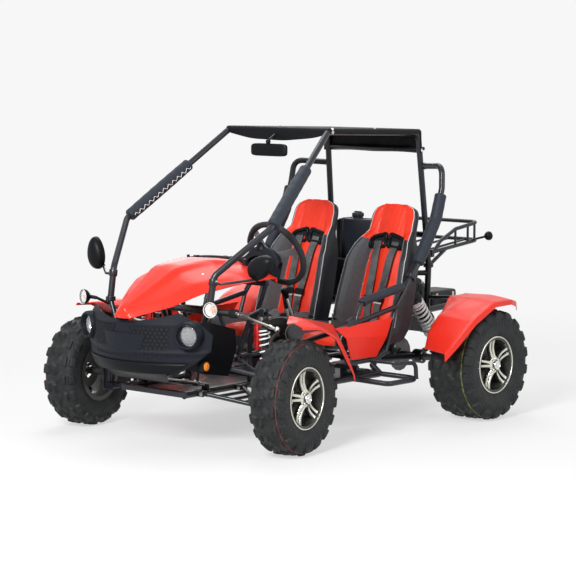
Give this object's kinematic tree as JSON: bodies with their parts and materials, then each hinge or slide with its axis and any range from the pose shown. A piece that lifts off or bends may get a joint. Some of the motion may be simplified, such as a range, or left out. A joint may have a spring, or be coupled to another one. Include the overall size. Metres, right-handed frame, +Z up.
{
  "type": "two-seat off-road buggy",
  "caption": "Open two-seat off-road buggy with a roll cage, double-wishbone front, solid rear axle on a swing arm, bucket seats, canvas roof and rack.",
  "frame": {"origin": "centre of the footprint, on the ground under the tyres", "axes": "+Z up, the front faces -Y, the driver's side is +X"},
  "size_m": [1.678, 2.3784, 1.4696],
  "materials": {
    "red_plastic": "gloss red moulded plastic",
    "black_paint": "gloss black paint on steel tube",
    "black_plastic": "dark blue-black moulded plastic with a fine texture",
    "tread_rubber": "knobby tyre rubber",
    "machined_alloy": "machined faces and black painted pockets",
    "bright_steel": "zinc plated steel",
    "cast_metal": "dark cast metal",
    "engine_metal": "dark engine castings",
    "white_spring": "white painted spring wire",
    "seat_vinyl": "red and black vinyl over foam",
    "webbing": "black woven webbing",
    "canvas": "matte black roof canvas",
    "lens": "clear lamp lens in a dark bowl"
  },
  "bodies": {
    "chassis": {"lower_frame": "black_paint", "roll_cage": "black_paint", "front_fascia": "black_plastic", "hood": "red_plastic", "dash_pod": "black_plastic", "roof_canopy": "canvas", "engine": "engine_metal", "rear_rack": "black_paint", "fuel_tank": "black_plastic", "headlights": "lens", "front_fender_left": "red_plastic", "front_fender_right": "red_plastic", "rear_fender_left": "red_plastic", "rear_fender_right": "red_plastic", "side_panel_left": "red_plastic", "side_panel_right": "red_plastic"},
    "swing_arm": {"rear_swing_arm": "black_paint"},
    "rear_axle": {"rear_axle": "bright_steel", "rear_rim_left": "machined_alloy", "rear_rim_right": "machined_alloy", "rear_tyre_left": "tread_rubber", "rear_tyre_right": "tread_rubber"},
    "steering_rack": {"steering_rack": "bright_steel"},
    "steering_wheel": {"steering_wheel": "black_plastic"},
    "brake_pedal": {"brake_pedal": "bright_steel"},
    "throttle_pedal": {"throttle_pedal": "bright_steel"},
    "fuel_cap": {"fuel_cap": "black_plastic"},
    "cabin_mirror": {"cabin_mirror": "black_plastic"},
    "lower_arm_left": {"front_lower_arm_left": "black_paint"},
    "upper_arm_left": {"front_upper_arm_left": "black_paint"},
    "kingpin_bracket_left": {"kingpin_bracket_left": "black_paint"},
    "knuckle_left": {"knuckle_left": "cast_metal"},
    "front_wheel_left": {"front_rim_left": "machined_alloy", "front_tyre_left": "tread_rubber"},
    "tie_rod_left": {"tie_rod_left": "bright_steel"},
    "front_shock_body_left": {"front_shock_body_left": "cast_metal", "front_spring_left": "white_spring"},
    "front_shock_rod_left": {"front_shock_rod_left": "bright_steel"},
    "rear_shock_body_left": {"rear_shock_body_left": "cast_metal", "rear_spring_left": "white_spring"},
    "rear_shock_rod_left": {"rear_shock_rod_left": "bright_steel"},
    "seat_left": {"seat_left": "seat_vinyl", "harness_left": "webbing"},
    "side_mirror_left": {"side_mirror_left": "black_plastic"},
    "lower_arm_right": {"front_lower_arm_right": "black_paint"},
    "upper_arm_right": {"front_upper_arm_right": "black_paint"},
    "kingpin_bracket_right": {"kingpin_bracket_right": "black_paint"},
    "knuckle_right": {"knuckle_right": "cast_metal"},
    "front_wheel_right": {"front_rim_right": "machined_alloy", "front_tyre_right": "tread_rubber"},
    "tie_rod_right": {"tie_rod_right": "bright_steel"},
    "front_shock_body_right": {"front_shock_body_right": "cast_metal", "front_spring_right": "white_spring"},
    "front_shock_rod_right": {"front_shock_rod_right": "bright_steel"},
    "rear_shock_body_right": {"rear_shock_body_right": "cast_metal", "rear_spring_right": "white_spring"},
    "rear_shock_rod_right": {"rear_shock_rod_right": "bright_steel"},
    "seat_right": {"seat_right": "seat_vinyl", "harness_right": "webbing"},
    "side_mirror_right": {"side_mirror_right": "black_plastic"}
  },
  "joints": [
    {"name": "front_suspension_left", "type": "hinge", "parent": "chassis", "child": "lower_arm_left", "pos_m": [0.235, -0.756, 0.257], "axis": [0, -1, 0], "range_deg": [-10, 8], "stiffness_Nm_per_rad": 1203, "springref_deg": -5.73},
    {"name": "upper_arm_swing_left", "type": "hinge", "parent": "chassis", "child": "upper_arm_left", "pos_m": [0.235, -0.756, 0.397], "axis": [0, -1, 0], "range_deg": [-10, 8]},
    {"name": "kingpin_bracket_tilt_left", "type": "hinge", "parent": "lower_arm_left", "child": "kingpin_bracket_left", "pos_m": [0.485, -0.756, 0.205], "axis": [0, -1, 0], "range_deg": [-8, 10]},
    {"name": "front_steer_left", "type": "hinge", "parent": "kingpin_bracket_left", "child": "knuckle_left", "pos_m": [0.53, -0.756, 0.205], "axis": [0, 0, 1], "range_deg": [-33, 17]},
    {"name": "front_wheel_spin_left", "type": "hinge", "parent": "knuckle_left", "child": "front_wheel_left", "pos_m": [0.65378, -0.7386, 0.2665], "axis": [0.9903, 0.1392, 0], "continuous": true},
    {"name": "front_shock_top_left", "type": "hinge", "parent": "chassis", "child": "front_shock_body_left", "pos_m": [0.405, -0.66, 0.6], "axis": [0, -1, 0], "range_deg": [-2, 2]},
    {"name": "front_shock_foot_left", "type": "hinge", "parent": "lower_arm_left", "child": "front_shock_rod_left", "pos_m": [0.425, -0.66, 0.246], "axis": [0, -1, 0], "range_deg": [-9, 11], "deforming": ["front_spring_left"]},
    {"name": "tie_rod_swing_left", "type": "hinge", "parent": "steering_rack", "child": "tie_rod_left", "pos_m": [0.27235, -0.70154, 0.615], "axis": [0, -1, 0], "range_deg": [-10, 8]},
    {"name": "front_suspension_right", "type": "hinge", "parent": "chassis", "child": "lower_arm_right", "pos_m": [-0.235, -0.756, 0.257], "axis": [0, 1, 0], "range_deg": [-10, 8], "stiffness_Nm_per_rad": 1203, "springref_deg": -5.73},
    {"name": "upper_arm_swing_right", "type": "hinge", "parent": "chassis", "child": "upper_arm_right", "pos_m": [-0.235, -0.756, 0.397], "axis": [0, 1, 0], "range_deg": [-10, 8]},
    {"name": "kingpin_bracket_tilt_right", "type": "hinge", "parent": "lower_arm_right", "child": "kingpin_bracket_right", "pos_m": [-0.485, -0.756, 0.205], "axis": [0, 1, 0], "range_deg": [-8, 10]},
    {"name": "front_steer_right", "type": "hinge", "parent": "kingpin_bracket_right", "child": "knuckle_right", "pos_m": [-0.53, -0.756, 0.205], "axis": [0, 0, 1], "range_deg": [-33, 17]},
    {"name": "front_wheel_spin_right", "type": "hinge", "parent": "knuckle_right", "child": "front_wheel_right", "pos_m": [-0.65378, -0.7734, 0.2665], "axis": [0.9903, 0.1392, 0], "continuous": true},
    {"name": "front_shock_top_right", "type": "hinge", "parent": "chassis", "child": "front_shock_body_right", "pos_m": [-0.405, -0.66, 0.6], "axis": [0, 1, 0], "range_deg": [-2, 2]},
    {"name": "front_shock_foot_right", "type": "hinge", "parent": "lower_arm_right", "child": "front_shock_rod_right", "pos_m": [-0.425, -0.66, 0.246], "axis": [0, 1, 0], "range_deg": [-9, 11], "deforming": ["front_spring_right"]},
    {"name": "tie_rod_swing_right", "type": "hinge", "parent": "steering_rack", "child": "tie_rod_right", "pos_m": [-0.28765, -0.70154, 0.615], "axis": [0, 1, 0], "range_deg": [-10, 8]},
    {"name": "rack_slide", "type": "slide", "parent": "chassis", "child": "steering_rack", "axis": [1, 0, 0], "range_m": [-0.0165, 0.032]},
    {"name": "steering_wheel_turn", "type": "hinge", "parent": "chassis", "child": "steering_wheel", "pos_m": [0.2625, -0.406, 0.877], "axis": [0, 0.9063, 0.4226], "range_deg": [-331, 171]},
    {"name": "swing_arm_pivot", "type": "hinge", "parent": "chassis", "child": "swing_arm", "pos_m": [0, 0.22, 0.29], "axis": [1, 0, 0], "range_deg": [-6, 3.5], "stiffness_Nm_per_rad": 8230, "springref_deg": -6.3},
    {"name": "rear_axle_spin", "type": "hinge", "parent": "swing_arm", "child": "rear_axle", "pos_m": [0, 0.62, 0.2795], "axis": [1, 0, 0], "continuous": true},
    {"name": "rear_shock_top_left", "type": "hinge", "parent": "chassis", "child": "rear_shock_body_left", "pos_m": [0.4, 0.462, 0.632], "axis": [1, 0, 0], "range_deg": [-5, 4]},
    {"name": "rear_shock_foot_left", "type": "hinge", "parent": "swing_arm", "child": "rear_shock_rod_left", "pos_m": [0.4, 0.68, 0.372], "axis": [1, 0, 0], "range_deg": [-3, 3], "deforming": ["rear_spring_left"]},
    {"name": "seat_slide_left", "type": "slide", "parent": "chassis", "child": "seat_left", "axis": [0, 1, 0], "range_m": [-0.08, 0]},
    {"name": "side_mirror_turn_left", "type": "hinge", "parent": "chassis", "child": "side_mirror_left", "pos_m": [0.5, -0.815, 0.885], "axis": [0, 0, 1], "range_deg": [-25, 25]},
    {"name": "rear_shock_top_right", "type": "hinge", "parent": "chassis", "child": "rear_shock_body_right", "pos_m": [-0.4, 0.462, 0.632], "axis": [1, 0, 0], "range_deg": [-5, 4]},
    {"name": "rear_shock_foot_right", "type": "hinge", "parent": "swing_arm", "child": "rear_shock_rod_right", "pos_m": [-0.4, 0.68, 0.372], "axis": [1, 0, 0], "range_deg": [-3, 3], "deforming": ["rear_spring_right"]},
    {"name": "seat_slide_right", "type": "slide", "parent": "chassis", "child": "seat_right", "axis": [0, 1, 0], "range_m": [-0.08, 0]},
    {"name": "side_mirror_turn_right", "type": "hinge", "parent": "chassis", "child": "side_mirror_right", "pos_m": [-0.5, -0.815, 0.885], "axis": [0, 0, 1], "range_deg": [-25, 25]},
    {"name": "cabin_mirror_turn", "type": "hinge", "parent": "chassis", "child": "cabin_mirror", "pos_m": [0, -0.168, 1.395], "axis": [0, 0, 1], "range_deg": [-15, 15]},
    {"name": "fuel_cap_turn", "type": "hinge", "parent": "chassis", "child": "fuel_cap", "pos_m": [-0.085, 0.642, 0.968], "axis": [0, 0, 1], "range_deg": [0, 120]},
    {"name": "throttle_pedal_press", "type": "hinge", "parent": "chassis", "child": "throttle_pedal", "pos_m": [0.07, -0.84, 0.29], "axis": [1, 0, 0], "range_deg": [0, 25], "stiffness_Nm_per_rad": 8, "springref_deg": -14.32},
    {"name": "brake_pedal_press", "type": "hinge", "parent": "chassis", "child": "brake_pedal", "pos_m": [0.145, -0.84, 0.29], "axis": [1, 0, 0], "range_deg": [0, 25], "stiffness_Nm_per_rad": 25, "springref_deg": -14.32}
  ],
  "couplings": [
    {"joint": "upper_arm_swing_left", "follows": "front_suspension_left", "ratio": 1},
    {"joint": "kingpin_bracket_tilt_left", "follows": "front_suspension_left", "ratio": -1},
    {"joint": "front_shock_top_left", "follows": "front_suspension_left", "ratio": 0.0612},
    {"joint": "front_shock_foot_left", "follows": "front_suspension_left", "ratio": -0.9388},
    {"joint": "tie_rod_swing_left", "follows": "front_suspension_left", "ratio": 1},
    {"joint": "upper_arm_swing_right", "follows": "front_suspension_right", "ratio": 1},
    {"joint": "kingpin_bracket_tilt_right", "follows": "front_suspension_right", "ratio": -1},
    {"joint": "front_steer_right", "follows": "front_steer_left", "ratio": 1},
    {"joint": "front_shock_top_right", "follows": "front_suspension_right", "ratio": 0.0612},
    {"joint": "front_shock_foot_right", "follows": "front_suspension_right", "ratio": -0.9388},
    {"joint": "tie_rod_swing_right", "follows": "front_suspension_right", "ratio": 1},
    {"joint": "rack_slide", "follows": "front_steer_left", "m_per_rad": -0.055},
    {"joint": "steering_wheel_turn", "follows": "front_steer_left", "ratio": 10},
    {"joint": "rear_shock_top_left", "follows": "swing_arm_pivot", "ratio": 0.68587},
    {"joint": "rear_shock_foot_left", "follows": "swing_arm_pivot", "ratio": -0.31413},
    {"joint": "rear_shock_top_right", "follows": "swing_arm_pivot", "ratio": 0.68587},
    {"joint": "rear_shock_foot_right", "follows": "swing_arm_pivot", "ratio": -0.31413}
  ]
}
